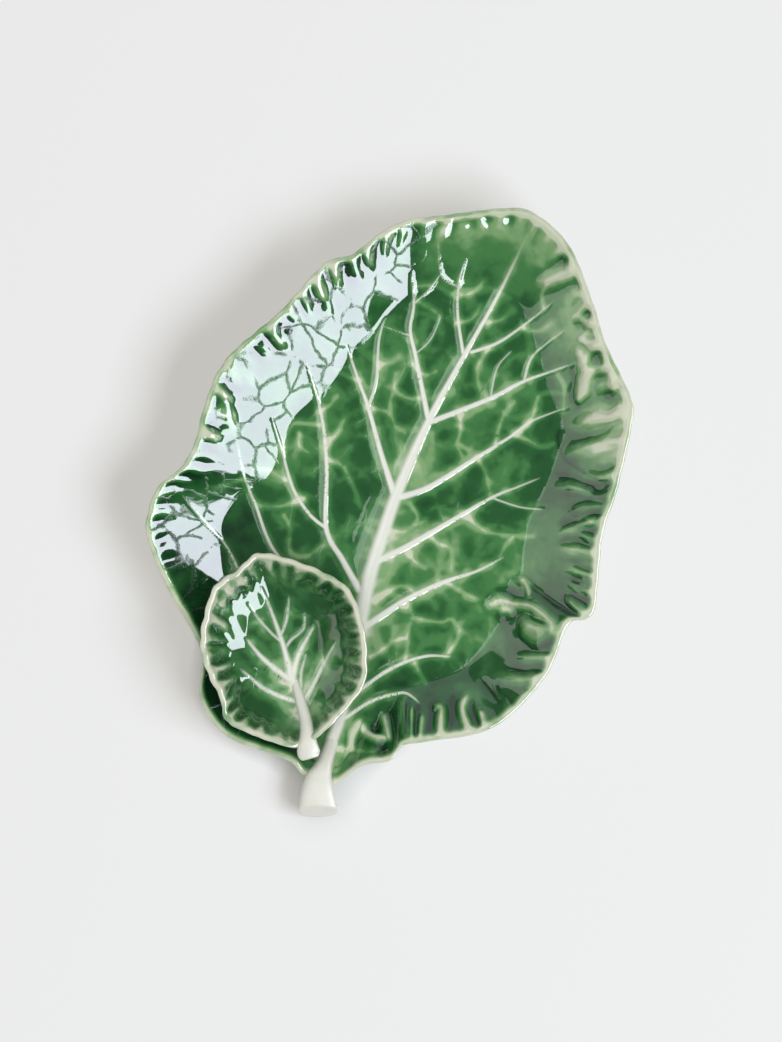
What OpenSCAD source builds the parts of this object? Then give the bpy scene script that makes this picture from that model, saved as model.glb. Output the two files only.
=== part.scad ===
// Leaf dish with a lift-out dip bowl, both of green-glazed earthenware.
// The dish is a broad cabbage leaf with a pleated, wavy rim, raised ribs and a cut stalk.
// A smaller leaf-shaped bowl stands on a flat seat in the dish's lower left lobe.
// Millimetres, +Z up. The table is z = 0, and +Y runs from the stalk to the tip of the leaf.

/* [Dish] */
// Length of the dish, from the cut end of its stalk to its tip
dish_l = 345; // [320:1:400]
// Width of the dish across its widest lobes
dish_w = 243; // [225:1:290]
// Height of the dish's rim at its sides, above the table
dish_rim_h = 42; // [36:1:52]
// Width of the dish's sloping wall where it is full
dish_wall_run = 48; // [40:1:52]
// Thickness of the dish's floor and wall
dish_wall = 5; // [4:0.5:7]
// Thickness of the dish's rounded rim
dish_lip = 3.6; // [2.5:0.1:5]
// Number of pleats round the dish's rim
dish_pleats = 50; // [30:1:60]
// Depth of the deepest pleats at the dish's rim
dish_pleat_d = 2; // [0.5:0.1:4]

/* [Dish foot ring] */
// Height of the dish's foot ring
dish_foot_h = 4; // [3:0.5:8]
// Length of the dish's foot ring, along the leaf
dish_foot_l = 190; // [140:1:200]
// Width of the dish's foot ring, across the leaf
dish_foot_w = 112; // [80:1:116]
// Thickness of the dish's foot ring
dish_foot_t = 7; // [4:0.5:12]

/* [Ribs] */
// Half width of the dish's midrib at the middle of the leaf
midrib_half_w = 3.6; // [2.5:0.1:4.5]
// Half width of the dish's stalk at its cut end
stalk_half_w = 10.5; // [7:0.5:13]
// Half height of the dish's stalk at its cut end
stalk_half_h = 8; // [6:0.5:10]
// Slant of the stalk's cut end from upright
stalk_slant = 40; // [0:1:55]
// Half width of a side rib where it leaves the midrib
rib_half_w = 2.4; // [1.5:0.1:3.5]

/* [Dip bowl] */
// Length of the dip bowl, along its own midrib
bowl_l = 106; // [90:1:116]
// Width of the dip bowl
bowl_w = 87; // [74:1:96]
// Height of the dip bowl, from its foot to its rim
bowl_h = 36; // [30:1:50]
// Width of the dip bowl's sloping wall where it is full
bowl_wall_run = 22; // [18:0.5:24]
// Thickness of the dip bowl's floor and wall
bowl_wall = 4; // [3:0.5:6]
// Thickness of the dip bowl's rounded rim
bowl_lip = 3.2; // [2:0.1:5]
// Number of pleats round the dip bowl's rim
bowl_pleats = 23; // [14:1:32]
// Depth of the deepest pleats at the dip bowl's rim
bowl_pleat_d = 1.2; // [0.2:0.1:3]
// Diameter of the dip bowl's foot ring
bowl_foot_d = 34; // [28:1:36]
// Height of the dip bowl's foot ring
bowl_foot_h = 4; // [3:0.5:8]
// Thickness of the dip bowl's foot ring
bowl_foot_t = 4; // [2.5:0.5:8]
// Half width of the dip bowl's stalk at its cut end
bowl_stalk_half_w = 6; // [4:0.5:7]
// Half height of the dip bowl's stalk at its cut end
bowl_stalk_half_h = 4.5; // [3:0.5:6]
// How far the dip bowl's stalk droops below the rim that it crosses
bowl_stalk_drop = 2; // [0:0.5:6]
// Turn of the dip bowl from the leaf's length
bowl_turn = 35; // [0:1:60]
// Gap between the dip bowl's foot and the dish's floor
seat_gap = 0.2; // [0.1:0.1:0.5]

/* [Hidden] */

// Both leaves are drawn at these sizes, and the drawings are stretched to the sizes above.
dish_drawn_w = 243;
dish_drawn_l = 345;
bowl_drawn_w = 87;
bowl_drawn_l = 106;
// Middle of the dish's drawing, which becomes the part's origin
dish_mid = [-20.4, 171.2];
// Point from which the dish's spokes run out to the rim
dish_hub = [-22, 176];
// Where the dip bowl stands, on the dish's drawing
seat_drawn = [-48, 78];

// Ends and necks of the stalks, on the drawings of their leaves
dish_tip_drawn = [-1, 4];
dish_neck_drawn = [-5.5, 16];
bowl_tip_drawn = [-1.5, -56];
bowl_neck_drawn = [0.5, -48];

// Rim of the dish, counter-clockwise from the left of the stalk: across, along, share of the full wall
dish_rim = [
    [-15, 17, 0.14], [-7, 20, 0.08], [2, 18, 0.14], [13, 33, 0.34], [26, 41, 0.5], [30, 51, 0.54], [42, 58, 0.58],
    [72, 77, 0.68], [89, 112, 0.72], [91, 142, 0.74], [99, 149, 0.8], [101, 158, 0.84], [92, 195, 0.76],
    [91, 220, 0.74], [86, 258, 0.74], [80, 270, 0.72], [58, 292, 0.72], [45, 309, 0.74], [22, 334, 0.8],
    [-2, 344, 0.86], [-18, 341, 0.86], [-50, 325, 0.84], [-64, 318, 0.86], [-75, 307, 0.9], [-86, 290, 0.94],
    [-95, 284, 1], [-101, 275, 1.02], [-112, 248, 1], [-130, 215, 1], [-133, 190, 0.98], [-131, 165, 0.92],
    [-134, 150, 0.92], [-141, 138, 0.94], [-142, 125, 0.9], [-138, 110, 0.84], [-120, 89, 0.66],
    [-92, 64, 0.46], [-86, 50, 0.43], [-82, 38, 0.42], [-70, 27, 0.4], [-55, 22, 0.34], [-26, 22, 0.24]
];

// Curl of the dish's wall on its right, as bulges: across, along, height, half width
dish_curls = [[56, 138, 4, 8], [66, 143, 2.5, 7], [76, 136, 4.5, 10]];

// Rim of the dip bowl, counter-clockwise from the left of its stalk, in the same order of values
bowl_rim = [
    [-8, -52, 0.55], [-1.5, -51, 0.4], [5, -50, 0.55], [20, -42, 0.74], [37, -29, 0.9], [43, -13, 1], [45, 2, 1],
    [43, 22, 1], [31, 36, 1], [14, 48, 1], [0, 54, 1], [-13, 48, 1], [-25, 44, 1], [-33, 34, 1], [-41, 17, 1], [-42, 0, 1],
    [-39, -15, 0.97], [-39, -28, 0.9], [-29, -38, 0.8], [-18, -46, 0.7]
];

// Midrib of the dish from the stalk to the tip: across, along, share of the midrib's half width
dish_midrib = [
    [-7, 27, 1.6], [-6.5, 40, 1.15], [-7.5, 55, 1], [-11, 88, 1], [-17, 122, 1], [-19.5, 150, 1.03],
    [-20, 178, 1], [-16.5, 220, 0.75], [-11, 260, 0.55], [-5, 296, 0.42], [-2, 325, 0.3]
];

// Side ribs of the dish, each from the midrib outwards: across, along, share of the half width
dish_side_ribs = [
    [[-12, 261, 0.6], [-22, 280, 0.5], [-27, 296, 0.4], [-28, 306, 0.25]],
    [[-18, 222, 0.9], [-35, 250, 0.7], [-43, 263, 0.6], [-46, 277, 0.5], [-53, 290, 0.3]],
    [[-21, 177, 1], [-35, 195, 0.85], [-50, 216, 0.7], [-70, 240, 0.35]],
    [[-50, 216, 0.6], [-51, 231, 0.5], [-57, 252, 0.4], [-58, 264, 0.25]],
    [[-21, 122, 1], [-35, 134, 0.9], [-49, 147, 0.8], [-60, 178, 0.6], [-72, 203, 0.5], [-88, 225, 0.3]],
    [[-49, 147, 0.7], [-60, 151, 0.6], [-73, 161, 0.5], [-95, 190, 0.3]],
    [[-13, 97, 0.8], [-42, 112, 0.7], [-74, 130, 0.6], [-90, 147, 0.5], [-108, 172, 0.3]],
    [[-8, 263, 0.6], [3, 272, 0.5], [12, 284, 0.45], [24, 303, 0.25]],
    [[-16, 220, 0.9], [10, 243, 0.75], [24, 258, 0.6], [45, 275, 0.3]],
    [[24, 258, 0.5], [24, 273, 0.4], [35, 291, 0.25]],
    [[-19, 176, 1], [2, 196, 0.9], [27, 227, 0.65], [35, 239, 0.5], [50, 252, 0.3]],
    [[-18, 140, 1], [4, 166, 0.9], [28, 193, 0.65], [51, 215, 0.3]],
    [[28, 193, 0.5], [45, 194, 0.4], [57, 197, 0.25]],
    [[-13, 102, 1], [5, 126, 0.85], [21, 142, 0.7], [46, 165, 0.3]],
    [[-8, 62, 0.7], [8, 86, 0.6], [24, 100, 0.5], [37, 105, 0.3]]
];

// Midrib and side ribs of the dip bowl, in the same order of values
bowl_midrib = [[1, -42, 1.3], [1.5, -30, 1], [0, -12, 0.8], [0, 4, 0.6], [-1, 20, 0.45], [-3, 36, 0.3]];
bowl_side_ribs = [
    [[-1, 4, 0.5], [-9, 18, 0.4], [-12, 28, 0.25]],
    [[-2, -18, 0.9], [-10, -8, 0.8], [-19, 12, 0.4]],
    [[0, -31, 0.9], [-10, -22, 0.8], [-25, -2, 0.4]],
    [[0, 2, 0.5], [12, 11, 0.45], [18, 26, 0.25]],
    [[1, -14, 0.8], [8, -4, 0.8], [18, 8, 0.4]],
    [[2, -30, 0.8], [20, -14, 0.6], [32, -2, 0.3]]
];

// Heights of the floors and the full rise of the rims above them
dish_floor = dish_foot_h + dish_wall;
dish_rise = dish_rim_h - dish_floor;
bowl_floor = bowl_foot_h + bowl_wall;
bowl_rise = bowl_h - bowl_floor;

// Steps from a floor's edge up the wall, for the top and for the underside
top_steps = [0.1, 0.2, 0.32, 0.5, 0.66, 0.82, 1];
under_steps = [1, 0.7, 0.4, 0.15];
// Steepness of a wall at shares of its width from foot to rim: the dish's leans out evenly above a fillet,
// and the dip bowl's has a gentle shelf at its foot and stands up to its rim
dish_slopes = [[0, 0], [0.3, 1], [1, 1]];
bowl_slopes = [[0, 0], [0.15, 0.8], [0.55, 0.8], [1, 3.2]];
// Spokes to a pleat
pleat_steps = 4;
// Angle by which the depth of the pleats wanders from one to the next, and its least share
pleat_wander = 137.5;
pleat_least = 0.25;
// Share of the hub's distance at which the flat floor has a ring of its own
floor_ring = 0.55;
// Sides of a rib's cross-section, and its height as a share of its half width
rib_sides = 8;
rib_height = 0.9;
// Height of the dish's stalk over the floor, as a share of its half height
stalk_lift = 0.55;
// Narrow part of a stalk as a share of its end, and the turn of its cut end
stalk_waist = 0.75;
stalk_skew = 15;
// Facets of a foot ring
foot_facets = 96;

// Sizes of the drawings on the real pieces
dish_scale = [dish_w / dish_drawn_w, dish_l / dish_drawn_l];
bowl_scale = [bowl_w / bowl_drawn_w, bowl_l / bowl_drawn_l];
function on_dish(p) = [(p.x - dish_mid.x) * dish_scale.x, (p.y - dish_mid.y) * dish_scale.y];
function on_bowl(p) = [p.x * bowl_scale.x, p.y * bowl_scale.y];

// Smooth curves through drawn points
function bend(a, b, c, d, t) =
    b + (c - a) * t / 2 + (2 * a - 5 * b + 4 * c - d) * t * t / 2 + (3 * b - a - 3 * c + d) * t * t * t / 2;
function closed_curve(p, steps) = let (n = len(p)) [
    for (i = [0 : n - 1], k = [0 : steps - 1])
        bend(p[(i + n - 1) % n], p[i], p[(i + 1) % n], p[(i + 2) % n], k / steps)
];
function flat_gap(a, b) = norm([b.x - a.x, b.y - a.y]);
function run_lengths(p) = let (n = len(p)) [
    for (i = 0, run = 0; i <= n; run = run + flat_gap(p[i % n], p[(i + 1) % n]), i = i + 1) run
];

// The same closed curve with n points, evenly spaced along it
function even_curve(p, n) =
    let (runs = run_lengths(p), m = len(p), whole = runs[m])
    let (tables = [for (c = [0 : 2]) [for (i = [0 : m]) [runs[i], p[i % m][c]]]])
    [for (i = [0 : n - 1]) [for (c = [0 : 2]) lookup(whole * i / n, tables[c])]];

// A leaf: hub, floor height, rise, wall, lip, pleat depth, slopes, curls, and its spokes as
// bearing from the stalk, distance of the lip, share of the rise, width of the wall
function bearing(v) = (atan2(v.y, v.x) + 90 + 360) % 360;
function spoke(q, hub, lip, run) =
    let (v = [q.x, q.y] - hub) [bearing(v), norm(v) - lip, q[2], q[2] * run];
function leaf(hub, floor_z, rise, wall, lip, pleat_d, slopes, curls, spokes) =
    [hub, floor_z, rise, wall, lip, pleat_d, slopes, curls, spokes];
function rim_curve(rim) = closed_curve(rim, 6);
function drawn_to(p, q) = [q.x, q.y, p[2]];
function drawn_curl(p) = concat(on_dish(p), [p[2], p[3] * dish_scale.x]);

dish_leaf = leaf(on_dish(dish_hub), dish_floor, dish_rise, dish_wall, dish_lip, dish_pleat_d, dish_slopes,
    [for (p = dish_curls) drawn_curl(p)],
    [
        for (q = even_curve([for (p = rim_curve(dish_rim)) drawn_to(p, on_dish(p))], dish_pleats * pleat_steps))
            spoke(q, on_dish(dish_hub), dish_lip, dish_wall_run)
    ]
);
bowl_leaf = leaf([0, 0], bowl_floor, bowl_rise, bowl_wall, bowl_lip, bowl_pleat_d, bowl_slopes,
    [],
    [
        for (q = even_curve([for (p = rim_curve(bowl_rim)) drawn_to(p, on_bowl(p))], bowl_pleats * pleat_steps))
            spoke(q, [0, 0], bowl_lip, bowl_wall_run)
    ]
);

// A wall's steepness added up from its foot to share s of its width, one span of its slopes at a time
function climb(slopes, s, i = 1) =
    i == len(slopes) || s <= slopes[i - 1][0] ? 0
    : let (from = slopes[i - 1][0], to = min(s, slopes[i][0]))
      (to - from) * (lookup(from, slopes) + lookup(to, slopes)) / 2 + climb(slopes, s, i + 1);
// Share of the rise at share s of the width, and the lean there, where 1 is the mean of the wall
function wall_share(slopes, s) = climb(slopes, s) / climb(slopes, 1);
function wall_lean(slopes, s) = lookup(s, slopes) / climb(slopes, 1);

// One spoke's profile from the hub over the rim and back below: distance and height
function slope(m, k, s) = atan(m[2] * k[2] * wall_lean(m[6], s) / k[3]);
function wall_top(m, k, pleat, s) =
    [k[1] - k[3] + k[3] * s, m[1] + m[2] * k[2] * wall_share(m[6], s) + pleat * s * s];
function wall_under(m, k, pleat, s) =
    let (a = slope(m, k, s), thick = m[3] + (m[4] - m[3]) * s)
    wall_top(m, k, pleat, s) + thick * [sin(a), -cos(a)];
function pleat_share(i) =
    let (swing = sin(pleat_wander * floor(i / pleat_steps)))
    pleat_least + (1 - pleat_least) * (1 + swing) / 2;
function profile(m, i) =
    let (k = m[8][i], f = m[1], edge = k[1] - k[3], a = slope(m, k, 1))
    let (pleat = m[5] * k[2] * pleat_share(i) * sin(360 * i / pleat_steps))
    let (rim = wall_top(m, k, pleat, 1) + m[4] / 2 * [sin(a), -cos(a)])
    concat(
        [[edge * floor_ring, f], [edge, f]],
        [for (s = top_steps) wall_top(m, k, pleat, s)],
        [for (t = [45, -45]) rim + m[4] / 2 * [cos(a + t), sin(a + t)]],
        [for (s = under_steps) wall_under(m, k, pleat, s)],
        [[edge, f - m[3]], [edge * floor_ring, f - m[3]]]
    );
function curl_z(m, p) =
    max(concat([0], [for (c = m[7]) c[2] * (1 - pow(norm(p - [c.x, c.y]) / c[3], 2))]));

// The leaf's shell: profiles lofted round the hub, with a fan of faces at the hub above and below
module leaf_shell(m) {
    spokes = m[8];
    n = len(spokes);
    rows = [for (i = [0 : n - 1]) profile(m, i)];
    size = len(rows[0]);
    top_size = len(top_steps) + 2;
    points = concat(
        [for (i = [0 : n - 1], k = [0 : size - 1])
            let (p = rows[i][k], xy = m[0] + p.x * [sin(spokes[i][0]), -cos(spokes[i][0])])
            [xy.x, xy.y, p.y + (k < top_size ? curl_z(m, xy) : 0)]],
        [[m[0].x, m[0].y, m[1]], [m[0].x, m[0].y, m[1] - m[3]]]
    );
    function at(i, k) = (i % n) * size + k;
    faces = concat(
        [for (i = [0 : n - 1], k = [0 : size - 2]) [at(i, k), at(i + 1, k), at(i + 1, k + 1)]],
        [for (i = [0 : n - 1], k = [0 : size - 2]) [at(i, k), at(i + 1, k + 1), at(i, k + 1)]],
        [for (i = [0 : n - 1]) [n * size, at(i + 1, 0), at(i, 0)]],
        [for (i = [0 : n - 1]) [n * size + 1, at(i, size - 1), at(i + 1, size - 1)]]
    );
    polyhedron(points, faces);
}

// Height of a leaf's top at a point of its plan, without the pleats
function spoke_value(m, b, c) = lookup(b, [for (k = m[8]) [k[0], k[c]]]);
function top_z(m, p) =
    let (v = p - m[0], b = bearing(v), width = spoke_value(m, b, 3))
    let (s = min(1, max(0, (norm(v) - spoke_value(m, b, 1) + width) / width)))
    m[1] + m[2] * spoke_value(m, b, 2) * wall_share(m[6], s);

// A rib: beads half sunk in the leaf, hulled one to the next
module bead(p) {
    translate([p[0], p[1], p[2]])
        scale([p[3], p[3], p[4]])
            sphere(r = 1, $fn = rib_sides);
}
module rib(beads) {
    for (i = [0 : len(beads) - 2])
        hull() {
            bead(beads[i]);
            bead(beads[i + 1]);
        }
}
function rib_beads(m, path, half_w) = [
    for (p = path) [p.x, p.y, top_z(m, [p.x, p.y]), p[2] * half_w, p[2] * half_w * rib_height]
];
function path_on_dish(path) = [for (p = path) concat(on_dish(p), [p[2]])];
function path_on_bowl(path) = [for (p = path) concat(on_bowl(p), [p[2]])];

// A stalk crosses the low rim at the foot of its leaf and swells towards a slanted cut end:
// across, along, height, half width, half height of each bead
function stalk_beads(tip, neck, tip_z, neck_z, half_w, half_h, midrib) = [
    [tip.x, tip.y, tip_z, half_w, half_h],
    [neck.x, neck.y, neck_z, stalk_waist * half_w, stalk_waist * half_h],
    midrib[0]
];
module end_cut(tip, tip_z, half_w) {
    translate([tip.x, tip.y, tip_z])
        rotate([-stalk_slant, 0, stalk_skew])
            translate([-2 * half_w, -4 * half_w, -2 * half_w])
                cube(4 * half_w);
}

// Stalk of the dish
dish_tip = on_dish(dish_tip_drawn);
dish_neck = on_dish(dish_neck_drawn);
dish_stalk_z = dish_floor + stalk_half_h * stalk_lift;
dish_midrib_beads = rib_beads(dish_leaf, path_on_dish(dish_midrib), midrib_half_w);
dish_stalk = stalk_beads(
    dish_tip, dish_neck, dish_stalk_z, dish_stalk_z, stalk_half_w, stalk_half_h, dish_midrib_beads);

// Stalk of the dip bowl
bowl_tip = on_bowl(bowl_tip_drawn);
bowl_neck = on_bowl(bowl_neck_drawn);
bowl_neck_z = top_z(bowl_leaf, bowl_neck);
bowl_tip_z = bowl_neck_z - bowl_stalk_drop;
bowl_midrib_beads = rib_beads(bowl_leaf, path_on_bowl(bowl_midrib), rib_half_w);
bowl_stalk = stalk_beads(
    bowl_tip, bowl_neck, bowl_tip_z, bowl_neck_z, bowl_stalk_half_w, bowl_stalk_half_h, bowl_midrib_beads);

// The dip bowl's place in the dish
seat = on_dish(seat_drawn);
seat_z = dish_floor + seat_gap;
module in_seat() {
    translate([seat.x, seat.y, seat_z])
        rotate([0, 0, bowl_turn])
            children();
}

module leaf_dish() {
    color("seagreen")
        leaf_shell(dish_leaf);
}

module dish_ribs() {
    color("ivory")
        difference() {
            union() {
                rib(dish_stalk);
                rib(dish_midrib_beads);
                for (path = dish_side_ribs)
                    rib(rib_beads(dish_leaf, path_on_dish(path), rib_half_w));
            }
            leaf_shell(dish_leaf);
            end_cut(dish_tip, dish_stalk_z, stalk_half_w);
        }
}

module dish_foot() {
    color("wheat")
        translate(concat(dish_leaf[0], [0]))
            linear_extrude(dish_foot_h)
                difference() {
                    oval(dish_foot_w, dish_foot_l);
                    oval(dish_foot_w - 2 * dish_foot_t, dish_foot_l - 2 * dish_foot_t);
                }
}

module oval(w, l) {
    polygon([for (i = [0 : foot_facets - 1])
        [w / 2 * cos(360 * i / foot_facets), l / 2 * sin(360 * i / foot_facets)]]);
}

module dip_bowl() {
    color("darkgreen")
        in_seat()
            leaf_shell(bowl_leaf);
}

module bowl_ribs() {
    color("ivory")
        in_seat()
            difference() {
                union() {
                    rib(bowl_stalk);
                    rib(bowl_midrib_beads);
                    for (path = bowl_side_ribs)
                        rib(rib_beads(bowl_leaf, path_on_bowl(path), rib_half_w));
                }
                leaf_shell(bowl_leaf);
                end_cut(bowl_tip, bowl_tip_z, bowl_stalk_half_w);
            }
}

module bowl_foot() {
    color("wheat")
        in_seat()
            difference() {
                cylinder(d = bowl_foot_d, h = bowl_foot_h, $fn = foot_facets);
                translate([0, 0, -bowl_foot_h])
                    cylinder(d = bowl_foot_d - 2 * bowl_foot_t, h = 3 * bowl_foot_h, $fn = foot_facets);
            }
}

leaf_dish();
dish_ribs();
dish_foot();
dip_bowl();
bowl_ribs();
bowl_foot();
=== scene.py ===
# %% [markdown]
# # A leaf dish and its dip bowl
# The object is a broad cabbage-leaf dish of green-glazed earthenware, with a small leaf-shaped bowl
# that stands in one lobe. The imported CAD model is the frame: it says where each piece is and how big.
# The script dresses that frame, piece by piece, in the order in which a potter would look at it: leaf,
# stalk, bowl, then the glazes and the bare foot rings, and last the table, the light and the camera.

# %% Load the frame
import math
from contextlib import contextmanager

import bmesh
import bpy
import numpy as np
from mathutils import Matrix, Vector, noise


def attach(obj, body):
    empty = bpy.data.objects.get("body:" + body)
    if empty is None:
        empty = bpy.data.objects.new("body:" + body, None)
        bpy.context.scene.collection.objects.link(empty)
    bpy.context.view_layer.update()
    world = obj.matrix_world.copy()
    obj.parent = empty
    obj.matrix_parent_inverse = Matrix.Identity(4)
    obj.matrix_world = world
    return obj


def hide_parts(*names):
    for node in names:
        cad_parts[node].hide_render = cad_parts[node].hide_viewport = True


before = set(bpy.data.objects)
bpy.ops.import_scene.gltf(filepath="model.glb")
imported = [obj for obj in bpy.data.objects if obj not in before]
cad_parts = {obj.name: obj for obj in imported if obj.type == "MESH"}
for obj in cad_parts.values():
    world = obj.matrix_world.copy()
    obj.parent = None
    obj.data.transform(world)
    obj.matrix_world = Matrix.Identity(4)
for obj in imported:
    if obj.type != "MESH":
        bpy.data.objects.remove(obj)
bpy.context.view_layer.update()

MM = 0.001

# %% [markdown]
# ## The drawing of the dish
# A leaf could be sculpted, but then nothing about it could be measured. Here it is drawn first, as a
# pattern maker would: a few points round the rim, each with the share of the full wall that stands
# there, and the ribs as short runs of points with a half width. Points are millimetres on the drawing,
# across and along, and the drawing's middle is the part's origin.

# %% Rim of the dish, counter-clockwise from the left of the stalk
DISH_MID = np.array([-20.4, 171.2])
DISH_HUB = np.array([-22.0, 176.0])
DISH_RIM = np.array([
    [-15, 17, 0.14], [-7, 20, 0.08], [2, 18, 0.14], [13, 33, 0.34], [26, 41, 0.5], [30, 51, 0.54],
    [42, 58, 0.58], [72, 77, 0.68], [89, 112, 0.72], [91, 142, 0.74], [99, 149, 0.8], [101, 158, 0.84],
    [92, 195, 0.76], [91, 220, 0.74], [86, 258, 0.74], [80, 270, 0.72], [58, 292, 0.72], [45, 309, 0.74],
    [22, 334, 0.8], [-2, 344, 0.86], [-18, 341, 0.86], [-50, 325, 0.84], [-64, 318, 0.86],
    [-75, 307, 0.9], [-86, 290, 0.94], [-95, 284, 1], [-101, 275, 1.02], [-112, 248, 1],
    [-130, 215, 1], [-133, 190, 0.98], [-131, 165, 0.92], [-134, 150, 0.92], [-141, 138, 0.94],
    [-142, 125, 0.9], [-138, 110, 0.84], [-120, 89, 0.66], [-92, 64, 0.46], [-86, 50, 0.43],
    [-82, 38, 0.42], [-70, 27, 0.4], [-55, 22, 0.34], [-26, 22, 0.24],
])

# %% Ribs of the dish: across, along, half width
DISH_MIDRIB = [
    [-6.5, 24, 5], [-6.6, 31, 4], [-7, 42, 3.5], [-7.2, 55, 3.5], [-11, 88, 3.8], [-16.5, 118, 4.3],
    [-18.5, 135, 4.2], [-19.3, 155, 4], [-19.6, 178, 3.6], [-17, 220, 2.6], [-11, 260, 2],
    [-5, 296, 1.5], [-1.5, 332, 0.9],
]
DISH_RIBS = [
    [[-12, 261, 1.5], [-22, 280, 1.2], [-27, 296, 0.9], [-28, 308, 0.6]],
    [[-26, 294, 0.7], [-37, 296, 0.7], [-45, 312, 0.5]],
    [[-18, 222, 2.2], [-35, 250, 1.7], [-43, 263, 1.4], [-46, 277, 1.1], [-53, 292, 0.6]],
    [[-46, 277, 0.8], [-41, 287, 0.7], [-38, 297, 0.5]],
    [[-43, 260, 0.7], [-57, 260, 0.5]],
    [[-36, 252, 0.7], [-31, 262, 0.6], [-30, 276, 0.5]],
    [[-21, 177, 2.6], [-35, 195, 2.1], [-50, 216, 1.7], [-60, 228, 1.3], [-72, 243, 0.8]],
    [[-50, 216, 1.4], [-51, 231, 1.2], [-57, 252, 1], [-58, 264, 0.6]],
    [[-21, 122, 2.6], [-35, 134, 2.3], [-49, 147, 2], [-60, 178, 1.6], [-72, 203, 1.3], [-90, 228, 0.7]],
    [[-49, 147, 1.6], [-60, 151, 1.5], [-73, 161, 1.3], [-85, 177, 1.1], [-97, 193, 0.7]],
    [[-13, 97, 1.6], [-42, 112, 1.4], [-71, 126, 1.3], [-90, 147, 1.2], [-100, 158, 1], [-110, 175, 0.6]],
    [[-86, 110, 1], [-97, 120, 0.9], [-115, 130, 0.8], [-128, 138, 0.5]],
    [[-8, 263, 1.5], [3, 272, 1.3], [12, 284, 1.1], [24, 303, 0.6]],
    [[-16, 220, 2.2], [10, 243, 1.9], [24, 258, 1.4], [46, 276, 0.7]],
    [[24, 258, 1.1], [24, 273, 0.9], [35, 291, 0.6]],
    [[10, 244, 0.8], [8, 260, 0.6], [12, 271, 0.5]],
    [[-18, 176, 2.5], [-5, 186.5, 2.2], [12, 208, 1.7], [27, 227, 1.3], [35, 239, 0.9], [51, 253, 0.5]],
    [[-17, 140, 2.5], [-5, 152.5, 2.3], [10, 170.5, 1.9], [29, 193, 1.3], [40, 203, 0.8], [50, 212, 0.5]],
    [[29, 193, 0.8], [45, 193.5, 0.7], [57, 196.5, 0.5]],
    [[-13, 102, 2.5], [5, 126, 2.2], [21, 142, 1.8], [35, 153, 1.2], [46, 165, 0.7]],
    [[-8, 62, 1.8], [8, 86, 1.6], [24, 100, 1.3], [38, 105, 0.7]],
    [[-4, 55, 1.7], [5, 67, 1.5], [15, 75, 1.4], [22, 78, 1.2], [30, 76, 0.8]],
]
print("ribs drawn on the dish:", 1 + len(DISH_RIBS))

# %% [markdown]
# ## From a drawing to a surface
# Both leaves are the same kind of shape: a flat floor, a wall that leans out, a rounded lip, and an outer
# wall below with slopes of its own. So one function works the surface out for either leaf, on spokes that
# run from a hub to the rim. Spokes are spaced evenly along the rim, so that pleats keep their size.


# %% Curves through drawn points
def through(a, b, c, d, t):
    """Point at t between b and c on the smooth curve through four points."""
    return b + (c - a) * t / 2 + (2 * a - 5 * b + 4 * c - d) * t**2 / 2 + (3 * b - a - 3 * c + d) * t**3 / 2


def closed_curve(points, steps=12):
    p = np.asarray(points, float)
    n = len(p)
    return np.array([
        through(p[i - 1], p[i], p[(i + 1) % n], p[(i + 2) % n], k / steps)
        for i in range(n) for k in range(steps)
    ])


def open_curve(points, steps=10):
    p = np.asarray(points, float)
    last = len(p) - 1
    run = [
        through(p[max(i - 1, 0)], p[i], p[i + 1], p[min(i + 2, last)], k / steps)
        for i in range(last) for k in range(steps)
    ]
    return np.array(run + [p[last]])


def even_spokes(curve, count):
    """The closed curve with evenly spaced points, and the distance of each along the rim."""
    loop = np.vstack([curve, curve[:1]])
    along = np.r_[0, np.cumsum(np.hypot(*np.diff(loop[:, :2], axis=0).T))]
    at = along[-1] * np.arange(count) / count
    return np.array([np.interp(at, along, c) for c in loop.T]).T, at


# %% The leaf's surface, ring by ring
def wall_at(s, slopes):
    """Share of the rise at share s of the wall, and how steep it is there, where 1 is the wall's mean."""
    at = np.linspace(0, 1, 101)
    steep = np.interp(at, *np.transpose(slopes))
    climb = np.r_[0, np.cumsum(steep[1:] + steep[:-1])]
    return np.interp(s, at, climb / climb[-1]), np.interp(s, *np.transpose(slopes)) / steep.mean()


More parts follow.
